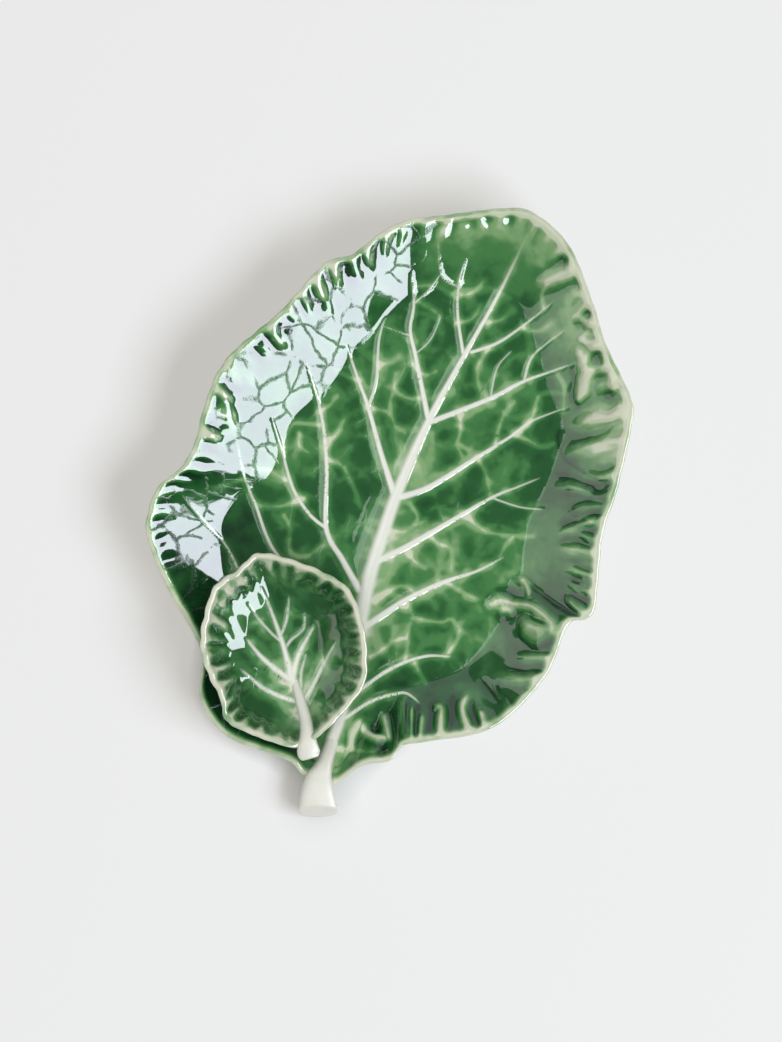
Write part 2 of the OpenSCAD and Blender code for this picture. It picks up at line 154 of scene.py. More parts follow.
def leaf_surface(leaf):
    """Rings of a leaf from the hub over the lip and back below, as arrays of spokes by rings."""
    rim, along = even_spokes(closed_curve(leaf["rim"]), leaf["spokes"])
    out = rim[:, :2] - leaf["hub"]
    reach = np.hypot(*out.T)
    heading = out / reach[:, None]
    reach = reach - leaf["lip"]
    run, rise = rim[:, 2] * leaf["run"], rim[:, 2] * leaf["rise"]
    edge = reach - run
    rows = []

    def ring(kind, r, z, lean, s):
        rows.append((kind, r, z, lean, s + 0 * edge))

    for q in np.linspace(0, 1, leaf["floor_rings"]):
        ring("floor", edge * q, leaf["floor"] + 0 * edge, 0 * edge, q - 1)
    for s in np.linspace(0, 1, leaf["wall_rings"] + 1)[1:]:
        height, steep = wall_at(s, leaf["slopes"])
        lean = np.arctan2(rise * steep, run)
        ring("wall", edge + run * s, leaf["floor"] + rise * height, lean, s)
    half = leaf["lip"] / 2
    middle_r = reach + half * np.sin(lean)
    middle_z = leaf["floor"] + rise - half * np.cos(lean)
    for turn in np.radians([60, 30, 0, -30, -60]):
        ring("lip", middle_r + half * np.cos(lean + turn), middle_z + half * np.sin(lean + turn), lean, 1)
    for s in np.linspace(1, 0, leaf["under_rings"]):
        height, steep = wall_at(s, leaf["under_slopes"])
        lean = np.arctan2(rise * steep, run)
        thick = leaf["wall"] + (leaf["lip"] - leaf["wall"]) * s
        r = edge + run * s + thick * np.sin(lean)
        z = leaf["floor"] + rise * height - thick * np.cos(lean)
        ring("under", r, z, lean, s)
    for q in np.linspace(1, 0, leaf["sole_rings"])[1:]:
        ring("sole", edge * q, leaf["floor"] - leaf["wall"] + 0 * edge, 0 * edge, q - 1)
    r, z, lean, s = (np.array([row[i] for row in rows]).T for i in (1, 2, 3, 4))
    kinds = np.array([row[0] for row in rows])
    xy = leaf["hub"] + r[..., None] * heading[:, None, :]
    return {"xy": xy, "z": z, "lean": lean, "s": s, "kinds": kinds, "heading": heading, "along": along,
            "inward": reach[:, None] - r, "round": along[-1] + along[1]}


# %% [markdown]
# ## Relief
# The ribs, the folds of the wall and the pleats at the rim are all heights above that smooth surface.
# Each is worked out from distances on the drawing, so that neighbouring forms can blend like soft clay.


# %% Distance to drawn runs
def ease(value, low, high):
    """Smooth climb from 0 to 1 between two values."""
    share = np.clip((value - low) / (high - low), 0, 1)
    return share * share * (3 - 2 * share)


def nearest_on(flat, run, reach):
    """Points within reach of a drawn run: which they are, how far off, and the half width and share there."""
    curve = open_curve(run)
    low, high = curve[:, :2].min(0) - reach, curve[:, :2].max(0) + reach
    near = np.flatnonzero(((flat > low) & (flat < high)).all(1))
    start, step = curve[:-1], np.diff(curve, axis=0)
    gap = flat[near, None, :] - start[None, :, :2]
    share = (gap * step[None, :, :2]).sum(2) / np.maximum((step[:, :2] ** 2).sum(1), 1e-9)
    share = np.clip(share, 0, 1)
    gap = gap - share[..., None] * step[None, :, :2]
    away = np.hypot(gap[..., 0], gap[..., 1])
    best = away.argmin(1)
    pick = np.arange(len(near)), best
    return near, away[pick], start[best, 2] + share[pick] * step[best, 2], (best + share[pick]) / len(step)


OFF_RIBS = 5.0


def rib_relief(flat, ribs, height, reach=14.0):
    """Height of the ribs, distance from the nearest one in half widths, and how pale that rib is."""
    tall = np.zeros(len(flat))
    offset = np.full(len(flat), OFF_RIBS)
    pale = np.zeros(len(flat))
    for rib in ribs:
        near, away, half, share = nearest_on(flat, rib, reach)
        half = np.maximum(half, 0.4)
        slim = half * (0.6 + 0.4 * ease(half, 1.5, 3.5)) + 0.2
        crest = np.exp(-((away / slim) ** 2.4))
        skirt = 0.45 * np.exp(-((away / (2.6 * half)) ** 2))
        tall[near] = np.maximum(tall[near], height * half * (crest + skirt) / 1.45)
        fade = np.clip(0.18 + 0.50 * half, 0, 1) * (1 - 0.7 * ease(share, 0.9, 1.0))
        ratio = away / slim
        better = fade * np.exp(-(ratio**2)) > pale[near] * np.exp(-(offset[near] ** 2))
        offset[near] = np.where(better, ratio, offset[near])
        pale[near] = np.where(better, fade, pale[near])
    return tall, offset, pale


def fold_relief(flat, folds, height, taper):
    """Soft rounded folds: their height, and how near a point is to a crest and to the valley beside it.

    With a taper, a fold fades in over that share of its run, from its inner end.
    """
    tall = np.zeros(len(flat))
    crest = np.zeros(len(flat))
    valley = np.zeros(len(flat))
    for fold in folds:
        near, away, half, share = nearest_on(flat, fold, 3.0 * max(p[2] for p in fold) + 2)
        off = away / half
        grown = ease(share, -0.1, taper) if taper else 1.0
        tall[near] = np.maximum(tall[near], grown * height * half * np.exp(-(off**2)))
        crest[near] = np.maximum(crest[near], grown * np.exp(-1.3 * (np.sqrt(off**2 + 0.1) - 0.32)))
        valley[near] = np.maximum(valley[near], grown * np.exp(-(((off - 1.9) / 0.7) ** 2)))
    return tall, crest, valley


def wall_relief(flat, folds, fingers, curls, creases, height, gain):
    """Folds that fade in towards the rim, fingers and curls at full height, and creases cut into them all."""
    tall, light, low = np.zeros(len(flat)), np.zeros(len(flat)), np.zeros(len(flat))
    for runs, taper, bright in ((folds, 0.6, gain), (fingers, 0.25, 2.2), (curls, 0.0, 1.5)):
        swell, crest, valley = fold_relief(flat, runs, height, taper)
        tall = np.maximum(tall, swell)
        light = np.maximum(light, bright * crest)
        low = np.maximum(low, valley)
    cut, dark, _ = fold_relief(flat, creases, 0.32 * height, taper=0.3)
    # Painted shade: valleys beside the folds and the creases are painted darker, and crests paler, partly
    # where the glaze runs thin and partly as painted highlight.
    shade = light - 0.6 * low * np.clip(1 - light, 0, 1)
    return tall - cut, shade * (1 - dark) - 0.8 * dark


def vein_lines(flat, veins):
    """Fine veins without relief: a thin bright core in a wider glow, fading out along each run."""
    bright = np.zeros(len(flat))
    for vein in veins:
        near, away, _, share = nearest_on(flat, [[x, y, 1.0] for x, y in vein], 6.0)
        line = 0.55 * np.exp(-((away / 1.2) ** 2)) + 0.45 * np.exp(-((away / 2.8) ** 2))
        bright[near] = np.maximum(bright[near], line * (1 - 0.4 * share))
    return bright


def pit_relief(flat, pits):
    """Small dents, as across, along, half width and depth."""
    deep = np.zeros(len(flat))
    for x, y, half, depth in pits:
        away = np.hypot(flat[:, 0] - x, flat[:, 1] - y)
        deep = np.maximum(deep, depth * np.exp(-((away / half) ** 2)))
    return deep


def wander(xy, size, seed):
    """Smooth noise from about -1 to 1, one value for each point of the drawing."""
    flat = xy.reshape(-1, 2) / size
    value = [noise.noise((x, y, seed)) for x, y in flat]
    return np.array(value).reshape(xy.shape[:-1])


# %% Pleats at a rim
def pleat_relief(surface, zones, seed):
    """Ridges square to the rim. A zone gives its start, and the pitch, depth and length of its pleats."""
    along, whole = surface["along"], surface["round"]
    at = np.array([z[0] for z in zones] + [1.0]) * whole
    pitch, depth, length = (np.interp(along, at, [z[i] for z in zones] + [zones[0][i]]) for i in (1, 2, 3))
    phase = np.cumsum(np.gradient(along) / pitch)
    inward = np.maximum(surface["inward"], 0)
    loose = wander(surface["xy"], 11.0, seed) * 0.40 + wander(surface["xy"], 26.0, seed + 3) * 0.50
    turn = phase[:, None] + loose * np.clip(inward / 10, 0.4, 1)
    pick = np.floor(turn + 0.5)
    strong = 0.78 + 0.22 * np.sin(pick * 2.4 + seed)
    ridge = (0.5 + 0.5 * np.cos(2 * np.pi * turn)) ** 1.4 - 0.42
    reach = inward / length[:, None]
    swell = np.clip(0.35 + inward / 6.0, 0, 1) * np.clip(1 - reach**2, 0, 1) ** 1.5
    return depth[:, None] * strong * ridge * swell


# %% [markdown]
# ## Skinning
# Every piece here is a sheet that closes on itself, round a hub or along a stalk. So each one starts as
# a plain grid, is wrapped on the worked-out points, and has its seam and poles merged.


# %% Read and write values on vertices
def read(mesh, key, width=1):
    layer = mesh.attributes[key]
    flat = np.empty(len(mesh.vertices) * width, np.float32)
    layer.data.foreach_get("value" if width == 1 else "vector", flat)
    return flat.astype(float) if width == 1 else flat.reshape(-1, width).astype(float)


def write(mesh, key, value):
    layer = mesh.attributes.get(key) or mesh.attributes.new(key, "FLOAT", "POINT")
    layer.data.foreach_set("value", value.astype(np.float32))


def places(mesh):
    flat = np.empty(len(mesh.vertices) * 3)
    mesh.vertices.foreach_get("co", flat)
    return flat.reshape(-1, 3)


# %% Wrap a grid on points
@contextmanager
def editing(mesh):
    """The mesh as an editable one, which is written back at the end."""
    bm = bmesh.new()
    bm.from_mesh(mesh)
    yield bm
    bm.to_mesh(mesh)
    bm.free()


def put(name, data):
    made = bpy.data.objects.new(name, data)
    bpy.context.collection.objects.link(made)
    return made


def skin(name, points, values=None, push=None):
    """A grid wrapped on points (across u, along v) that closes in u, with named values on its vertices."""
    columns, rows = points.shape[:2]
    mesh = bpy.data.meshes.new(name)
    with editing(mesh) as bm:
        bmesh.ops.create_grid(bm, x_segments=columns, y_segments=rows - 1, size=0.5)
    grid = places(mesh)
    u = np.rint((grid[:, 0] + 0.5) * columns).astype(int) % columns
    v = np.rint((grid[:, 1] + 0.5) * (rows - 1)).astype(int)
    mesh.vertices.foreach_set("co", points[u, v].ravel())
    for key, value in (values or {}).items():
        write(mesh, key, value[u, v])
    if push is not None:
        layer = mesh.attributes.new("push", "FLOAT_VECTOR", "POINT")
        layer.data.foreach_set("vector", push[u, v].astype(np.float32).ravel())
    with editing(mesh) as bm:
        bmesh.ops.remove_doubles(bm, verts=bm.verts, dist=1e-6)
        bmesh.ops.recalc_face_normals(bm, faces=bm.faces)
    mesh.shade_smooth()
    return put(name, mesh)


def count(piece):
    print(piece.name, "triangles:", sum(len(p.vertices) - 2 for p in piece.data.polygons))


# %% [markdown]
# ## Finer where it matters
# A grid that is fine enough for a rib is far too fine for the flat floor between ribs. So vertices that
# crowd round the hub are merged, the long edges near drawn runs are split in a few passes, and only then
# is the relief raised, along a direction kept on each vertex.


# %% Thin out and refine
def thin_out(mesh, gap):
    """Merges vertices of the floor that crowd together round the hub, closer than a gap."""
    crowd = (read(mesh, "top") > 0.5) & (read(mesh, "wall") <= 0)
    with editing(mesh) as bm:
        bmesh.ops.remove_doubles(bm, verts=[v for v in bm.verts if crowd[v.index]], dist=gap * MM)
        bmesh.ops.triangulate(bm, faces=[f for f in bm.faces if len(f.verts) != 4])


def refine(mesh, runs, reach, margin, limit):
    """Splits edges over a limit that end near a drawn run: within so many half widths plus a margin."""
    flat = np.c_[read(mesh, "x"), read(mesh, "y")]
    close = np.zeros(len(flat), bool)
    for run in runs:
        near, away, half, _ = nearest_on(flat, run, margin + reach * max(p[2] for p in run))
        close[near[away < reach * half + margin]] = True
    close &= read(mesh, "top") > 0.5
    with editing(mesh) as bm:
        split = [e for e in bm.edges if e.calc_length() > limit * MM and any(close[v.index] for v in e.verts)]
        bmesh.ops.subdivide_edges(bm, edges=split, cuts=1)


def soften(field, across, along, rounds=2):
    """Running mean of a field on a surface: it closes round the hub in u and stops at the ends in v."""
    for _ in range(rounds):
        field = sum(np.roll(field, k, axis=0) for k in range(-across, across + 1)) / (2 * across + 1)
        padded = np.pad(field, ((0, 0), (along, along)), mode="edge")
        sums = np.cumsum(np.pad(padded, ((0, 0), (1, 0))), axis=1)
        field = (sums[:, 2 * along + 1:] - sums[:, :-2 * along - 1]) / (2 * along + 1)
    return field


# %% A leaf before its relief
LIGHT_WAY = math.radians(-13)


def smooth_leaf(name, leaf, pleats, seed, turn, place):
    """The leaf's surface as a mesh, which keeps on its vertices what the relief and the glaze need."""
    surface = leaf_surface(leaf)
    kinds, s, inward = surface["kinds"], surface["s"], surface["inward"]
    top = np.isin(kinds, ["floor", "wall"])
    small = pleat_relief(surface, pleats, seed) * top
    rim_row = np.flatnonzero(kinds == "wall")[-1]
    for row in np.flatnonzero(np.isin(kinds, ["lip", "under"])):
        fade = 1.0 if kinds[row] == "lip" else np.clip(s[:, row], 0, 1) ** 2
        small[:, row] = small[:, rim_row] * fade
    rim = np.where(kinds == "lip", 1.0, np.clip(1 - inward / 2.2, 0, 1) * (kinds == "wall"))
    rim[:, np.flatnonzero(kinds == "under")[:2]] = 0.6
    # Painted light: the inner wall on the side that faces the lamp is marked, to be painted paler in the
    # glaze.
    toward = np.array([math.cos(LIGHT_WAY - turn), math.sin(LIGHT_WAY - turn)])
    values = {
        "small": small, "ridge": (small - soften(small, across=6, along=4)) * top, "rim": rim,
        "top": top * np.ones_like(s), "climb": np.clip(1.4 * (1 - s), 0, 1) * top, "wall": np.clip(s, 0, 1),
        "lit": np.clip(s, 0, 1) * ease(-(surface["heading"] @ toward), -0.2, 0.8)[:, None] * top,
        "x": surface["xy"][..., 0], "y": surface["xy"][..., 1],
    }
    ways = np.concatenate([-np.sin(surface["lean"])[..., None] * surface["heading"][:, None, :],
                           np.cos(surface["lean"])[..., None]], axis=-1)
    c, n = math.cos(turn), math.sin(turn)
    ways[..., :2] = ways[..., :2] @ np.array([[c, n], [-n, c]])
    return skin(name, place(surface["xy"], surface["z"]), values, ways)


# %% A leaf with its relief
DRAWN = ("ribs", "veins", "folds", "fingers", "curls", "creases", "pits", "pools_and_shade", "pleats")
PUFF = 0.3
# From where across the wall counts as the right one, and from where along its painted sheen fades in.
RIGHT_FROM = (-56.0, -44.0)
SHEEN_FROM = (205.0, 240.0)


def build_leaf(name, leaf, drawn, seed, turn, place):
    """The whole leaf: the smooth surface, split near its ribs and folds, with the relief raised on it."""
    ribs, veins, folds, fingers, curls, creases, pits, pools_and_shade, pleats = (drawn.get(key, []) for key in DRAWN)
    piece = smooth_leaf(name, leaf, pleats, seed, turn, place)
    mesh = piece.data
    lines = ribs + [[[x, y, 0.5] for x, y in vein] for vein in veins]
    thin_out(mesh, gap=0.9)
    refine(mesh, lines, reach=4.0, margin=2.0, limit=2.4)
    refine(mesh, lines, reach=2.4, margin=1.0, limit=1.2)
    refine(mesh, lines, reach=1.0, margin=0.5, limit=0.8)
    refine(mesh, ribs, reach=1.0, margin=0.1, limit=0.6)
    refine(mesh, folds + fingers + curls + creases, reach=1.6, margin=0.8, limit=1.2)
    flat = np.c_[read(mesh, "x"), read(mesh, "y")]
    on_top, climb = read(mesh, "top"), read(mesh, "climb")
    tall, offset, pale = rib_relief(flat, ribs, leaf["rib_height"])
    bulge, shade = wall_relief(flat, folds, fingers, curls, creases, leaf["fold_height"], leaf["fold_gain"])
    dent = pit_relief(flat, pits)
    at_rim = 1 - 0.6 * np.clip(read(mesh, "rim"), 0, 1)
    swell = PUFF * wander(flat, size=30.0, seed=seed + 7) * np.clip(1 - read(mesh, "rim"), 0, 1)
    relief = read(mesh, "small") + on_top * (tall * climb**2 + swell + (bulge - dent) * at_rim)
    # Dents and pools are painted darker, and the folds bring their painted shade: the pools hold pooled
    # glaze, painted shadow and painted dark reflection.
    depth = 0.8 * dent + pit_relief(flat, pools_and_shade)
    write(mesh, "ridge", read(mesh, "ridge") + on_top * at_rim * (shade - depth))
    write(mesh, "rib", np.where(on_top > 0.5, offset, OFF_RIBS))
    right = ease(flat[:, 0], *RIGHT_FROM)
    foot = ease(read(mesh, "wall"), 0.0, 0.04)
    write(mesh, "net", (1 - foot * right) * np.clip(1 - 1.5 * np.abs(shade), 0, 1) * on_top)
    write(mesh, "pale", pale * on_top * np.clip(climb, 0, 1))
    write(mesh, "vein", vein_lines(flat, veins) * on_top)
    # Painted sheen: the upper right wall is marked to be painted paler, standing in for the room it mirrors.
    write(mesh, "painted_sheen", read(mesh, "wall") * right * ease(flat[:, 1], *SHEEN_FROM) * on_top)
    moved = places(mesh) + read(mesh, "push", 3) * relief[:, None] * MM
    mesh.vertices.foreach_set("co", moved.ravel())
    for key in ("small", "climb", "top", "x", "y", "push"):
        mesh.attributes.remove(mesh.attributes[key])
    mesh.update()
    count(piece)
    return piece


def on_dish(xy, z):
    return np.concatenate([xy - DISH_MID, z[..., None]], axis=-1) * MM


# %% [markdown]
# ## The leaf of the dish
# The wall climbs at about thirty-five degrees all round, so where the drawing gives it more width it also
# stands taller. Pleats differ round the rim: crimped hooks on the left, small dents at the tip, and almost
# none on the edge below the bowl. The broad folds of the right wall, the comb by the stalk and the curl
# are too particular for a rule, so they are drawn one by one.

# %% Fine veins, from a rib outwards: across, along
DISH_VEINS = [
    [(-65, 191), (-61, 197), (-60, 206)], [(-72, 198), (-80, 196), (-85, 194), (-86, 188), (-86, 179)],
    [(-74, 205), (-70, 210), (-68, 216)], [(-60, 182), (-55, 182), (-51, 181)],
    [(-51, 181), (-46, 176), (-40, 170), (-36, 164)],
    [(-51, 216), (-44, 217), (-38, 217), (-33, 212), (-27, 210)], [(-38, 217), (-40, 223), (-40, 230)],
    [(-26, 230), (-33, 228), (-40, 230), (-42, 238)], [(-60, 228), (-66, 228), (-73, 229)],
    [(-66, 135), (-64, 130), (-60, 128), (-54, 129), (-48, 138)], [(-73, 146), (-68, 141), (-66, 135)],
    [(-101, 156), (-106, 152), (-112, 147)], [(-66, 158), (-76, 150), (-88, 146)],
    [(-79, 164), (-88, 166), (-96, 164)], [(-80, 190), (-78, 184), (-72, 182)],
    [(-52, 240), (-47, 243), (-44, 247)], [(-24, 290), (-18, 294), (-15, 301)],
    [(-5, 281), (1, 285), (5, 292)], [(-45, 279), (-38, 278), (-31, 276)],
    [(-48, 286), (-38, 290), (-26, 288)], [(-35, 246), (-28, 243), (-22, 247)],
    [(-21, 275), (-14, 280), (-12, 288)], [(20, 299), (17, 305), (18, 312)],
    [(14, 285), (22, 286), (27, 292)], [(40, 267), (45, 263), (48, 255), (50, 250)],
    [(30, 229), (34, 237), (35, 244), (34, 251), (37, 256), (46, 259)],
    [(29, 229), (37, 229), (45, 228), (51, 232)], [(21, 221), (20, 229), (20, 238), (23, 246)],
    [(-2, 229), (1, 221), (2, 214), (6, 209)], [(2, 214), (9, 213)],
    [(0, 268), (-2, 257), (1, 249), (5, 244)],
    [(18, 180), (25, 177), (33, 175), (40, 176), (48, 178), (57, 181)], [(47, 177), (45, 171), (44, 165)],
    [(4, 163), (10, 160), (17, 160), (20, 156), (22, 149)], [(15, 210), (22, 204), (28, 194)],
    [(-11, 175), (-5, 170), (-5, 165), (-9, 160), (-15, 158)], [(-5, 165), (0, 169)],
    [(-3, 150), (1, 147), (8, 145)], [(-11, 120), (-6, 126), (0, 132), (7, 131)],
    [(22, 142), (30, 140), (39, 139)], [(4, 122), (8, 122), (12, 118)],
    [(12, 118), (20, 119), (27, 121), (31, 124), (37, 121)], [(-3, 90), (2, 96), (5, 102), (4, 109)],
    [(5, 102), (12, 106), (14, 101), (15, 95)], [(12, 106), (11, 114)], [(21, 95), (25, 91), (30, 87)],
    [(36, 107), (38, 115), (37, 121)], [(-2, 38), (6, 40), (16, 43)],
]

# %% Section of the dish, in millimetres, and how fine its rings are
DISH = {
    "rim": DISH_RIM, "hub": DISH_HUB, "floor": 9.0, "rise": 33.0, "run": 48.0, "wall": 5.0, "lip": 3.6,
    "slopes": [(0, 0.35), (0.12, 0.94), (0.6, 0.94), (1, 1.12)], "under_slopes": [(0, 0), (0.3, 1), (1, 1)],
    "spokes": 500, "floor_rings": 30, "wall_rings": 31, "under_rings": 9, "sole_rings": 3,
    "rib_height": 0.75, "fold_height": 0.6, "fold_gain": 1.4,
}

# %% Pleat zones: share of the way round, pitch, depth, length
DISH_PLEATS = [
    [0, 9, 0.2, 10], [0.045, 9, 0.5, 12], [0.065, 8, 0.5, 14], [0.1, 8, 0.5, 14],
    [0.12, 12, 0.7, 16], [0.165, 12, 0.6, 16], [0.2, 12, 0.6, 14], [0.24, 13, 1.7, 22],
    [0.33, 13, 1.8, 23], [0.38, 12, 1.6, 20], [0.44, 11, 0.8, 13], [0.5, 10, 1.2, 12],
    [0.56, 11, 2.4, 14], [0.64, 12, 2.8, 14], [0.74, 12, 2.8, 15], [0.79, 10, 2.4, 14],
    [0.83, 12, 0.8, 14], [0.88, 12, 0.3, 12], [0.96, 10, 0.2, 10],
]

# %% Folds from their inner ends to the rim: across, along, half width
DISH_FOLDS = [
    [[64, 103, 2.4], [76, 106.5, 3], [88, 111.5, 2.2]],
    [[70, 117, 2.4], [80, 120, 2.6], [91, 124, 2.4]],
    [[84, 159.5, 2], [88, 154.5, 2.6], [95, 151.5, 2.4]],
    [[82, 161, 1.8], [91, 162.5, 2.2], [99, 164, 2]],
    [[76, 169.5, 2.4], [86, 171, 2.6], [95, 172, 2.2]],
    [[69, 178, 2.6], [80, 182, 3], [91, 184, 2.4]],
    [[69, 186.5, 2], [76, 193.5, 2.4], [84, 199, 2.2]],
    [[71, 201.5, 2], [77, 205, 2.8], [84, 208, 2.4]],
    [[58, 210.5, 2], [67, 213.5, 2.6], [76, 214.5, 2.2]],
    [[55, 226, 2.6], [66, 235, 3.6], [74, 240.5, 3.2], [85, 247, 2.4]],
    [[51, 240, 2.6], [61, 247.5, 4.5], [69, 254, 5], [81, 259, 3.6]],
    [[42, 290, 1.4], [50, 288, 2], [58, 290, 1.8]],
    [[60, 283, 2], [66, 278, 2.6], [70, 272, 2.2]],
    [[38, 300.5, 1.4], [44, 299, 1.8], [50, 299.5, 1.6]],
    [[10, 308, 2.4], [19, 314, 3.4], [27, 322, 3]],
    [[-84, 254, 2.2], [-92, 262, 3], [-101, 271, 2.6]],
    [[-99, 230, 2.4], [-108, 233, 3.2], [-117, 238, 2.6]],
    [[-111, 177, 2.6], [-119, 187, 3.8], [-127, 198, 3]],
    [[-85, 267, 2.2], [-91, 276, 2.8], [-96, 283, 2.2]],
    [[-74, 285, 1.6], [-78, 291, 2.2], [-82, 296, 2]],
    [[-67, 303, 1.6], [-70, 307, 2], [-74, 311, 1.8]],
    [[-110, 206, 2.2], [-118, 210, 3], [-130, 214, 2.4]],
    [[-112, 168, 2.2], [-121, 171, 3], [-130, 175, 2.4]],
]

# %% The fingers of the comb beside the stalk: across, along, half width
DISH_FINGERS = [
    [[5, 55, 1.4], [8, 51.5, 1.8], [13, 50.5, 2], [19, 52, 1.6]],
    [[14, 64, 1.8], [17, 59, 2.2], [21, 53, 1.6]],
    [[22, 75, 1.4], [24.5, 67, 1.9], [28.5, 58.5, 1.5]],
    [[27, 73, 1.2], [29.5, 66, 1.6], [32.5, 58.5, 1.3]],
    [[33.5, 71, 1.1], [35, 65, 1.5], [36.5, 59, 1.2]],
    [[37, 75, 1.4], [42, 77.5, 2.4], [44.5, 71, 2.8], [46, 64.5, 2]],
    [[53, 89, 1.6], [52.5, 82, 2], [56, 76, 2.4], [60.5, 71.5, 2]],
    [[62, 84, 1.2], [65.5, 78.5, 1.8], [69, 75, 1.6]],
    [[4, 57, 1.4], [2.5, 48, 1.8], [4, 40, 1.4]],
]

# %% The curl on the right and the knuckle above it, as bulges: across, along, half width
DISH_CURLS = [
    [[49, 139, 2.4], [53.5, 143, 3.2], [60, 143, 2.8], [67.5, 145, 3], [75, 144, 3.6], [82, 141, 3.2],
     [84.5, 136, 2.4]],
    [[56, 139, 3], [59, 139, 3]],
    [[73, 134, 6], [78, 134, 6.6]],
    [[60, 157, 1.6], [63.5, 155, 2], [66.5, 150.5, 1.6]],
    [[47, 282, 2.4], [53, 275, 3.4], [55, 265, 3], [55, 259, 2]],
]

# %% Creases, where the clay was pinched in: across, along, half width
DISH_CREASES = [
    [[16.5, 69, 1.6], [18.5, 64, 2.2], [24.5, 55, 1.6]],
    [[23, 76, 1.4], [25, 69, 1.9], [29, 58.5, 1.4]],
    [[29.5, 76, 1.4], [31, 69.5, 1.9], [33.5, 59, 1.4]],
    [[36, 79, 1.4], [38, 73, 1.8], [39.5, 64, 1.4]],
    [[45, 88, 2.4], [47, 80, 3], [50, 72, 2.4]],
    [[56, 88, 1.4], [59, 81, 2], [64, 75, 1.6]],
    [[56, 100, 2.2], [62, 96.5, 3], [70, 92, 2.2]],
    [[66, 102, 1], [68.5, 97, 1.4], [78, 93, 1.6]],
    [[67, 110, 1.8], [76, 112, 2.6], [88, 116, 1.6]],
    [[52.5, 138, 1], [55, 133.5, 1.8], [60, 134, 1.8], [63, 139, 1]],
    [[65.5, 141, 1.2], [66, 134, 1.8], [70, 127, 1.6], [77, 124.5, 1.6], [84, 129, 1.4], [87, 134, 1.2]],
    [[70, 143, 0.9], [72, 139.5, 1], [79, 138.5, 0.8]],
    [[47, 147, 1.6], [54, 149, 2], [63, 148.5, 2.2]],
    [[65, 157, 0.8], [67.5, 153.5, 0.9], [67, 149, 0.9]],
    [[72, 155, 2.2], [78, 151, 2.8], [86, 148, 2.2]],
    [[83, 159, 1], [84, 155, 1.4], [90, 150, 1.8], [97, 149, 1.2]],
    [[86, 160.5, 0.9], [89.5, 158, 1.4], [98, 157.5, 1.6]],
    [[83, 167, 1.8], [90, 166, 2.2], [98, 167.5, 1.6]],
    [[79, 177, 1.2], [86, 175, 1.8], [95, 175, 1.2]],
    [[71, 181, 1.6], [74, 186, 1.8], [80, 187.5, 1.6], [86, 187, 1.2], [90, 189.5, 1]],
    [[69, 190.5, 1.4], [73, 195, 1.8], [80, 199, 1.6]],
    [[71, 198, 1], [77, 200.5, 1.8], [85.5, 204, 1.8]],
    [[70.5, 200.5, 0.9], [72.5, 205.5, 1], [79, 210.5, 1]],
    [[55, 217, 1.8], [68, 218, 2.6], [82, 216, 2.2]],
    [[51, 241, 0.8], [51.5, 235, 0.9], [58, 227, 1], [69, 223, 1], [83, 221, 1.2]],
    [[61, 238.5, 1.4], [68, 241.5, 2.4], [77, 248.5, 1.8], [84, 251.5, 1.4]],
    [[41, 278, 0.8], [45, 273, 1], [49, 267, 1.4], [50, 260, 1.8], [56, 255.5, 1.4]],
    [[37.5, 296.5, 1.2], [42, 295, 1.8], [47, 294.5, 2]],
]

# %% Dents: across, along, half width, depth
DISH_PITS = [
    [-87, 281, 3, 1.6], [-117, 229, 3, 1.6], [-107, 238, 3, 1.8], [-92, 259, 2.6, 1.8],
    [20, 325, 2.4, 1.4], [33, 314.5, 2.4, 1.2], [43, 302.5, 3, 2], [54.5, 283.5, 2.4, 1.4],
    [70, 277.5, 2.2, 1.2], [68, 266, 2.8, 1.6], [73, 272, 2.4, 1.4], [13, 55.5, 2.6, 2.2], [20, 47, 3, 1.4],
    [-26, 332, 2.6, 1.4], [-36, 328, 2.6, 1.6], [-47, 322, 2.6, 1.6], [-12, 336, 2.4, 1],
]

# %% Pools of thicker glaze and of painted shade: across, along, half width, how dark
# The pools round the bowl paint its shadow over glaze that pools there, and those by the comb paint a dark
# reflection.
DISH_POOLS_AND_SHADE = [
    [-100, 72, 26, 1.2], [-72, 40, 22, 1.1], [-126, 104, 16, 0.9], [-40, 30, 18, 0.9], [-118, 150, 12, 0.3],
    [36, 92, 10, 0.6], [50, 101, 8, 0.5], [20, 84, 7, 0.4],
]

# %% Leaf piece
DISH_DRAWN = {
    "ribs": [DISH_MIDRIB] + DISH_RIBS, "veins": DISH_VEINS, "folds": DISH_FOLDS, "fingers": DISH_FINGERS,
    "curls": DISH_CURLS, "creases": DISH_CREASES, "pits": DISH_PITS, "pools_and_shade": DISH_POOLS_AND_SHADE,
    "pleats": DISH_PLEATS,
}
leaf = build_leaf("leaf_blade", DISH, DISH_DRAWN, seed=2.0, turn=0.0, place=on_dish)
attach(leaf, "dish")
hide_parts("leaf_dish")

# %% [markdown]
# ## The stalk
# The midrib thickens into a stalk that crosses the low rim and ends in a slanted cut, as if with a knife.
# It is a tube of oval rings along a short path. The last rings turn in, so the cut has a soft edge.


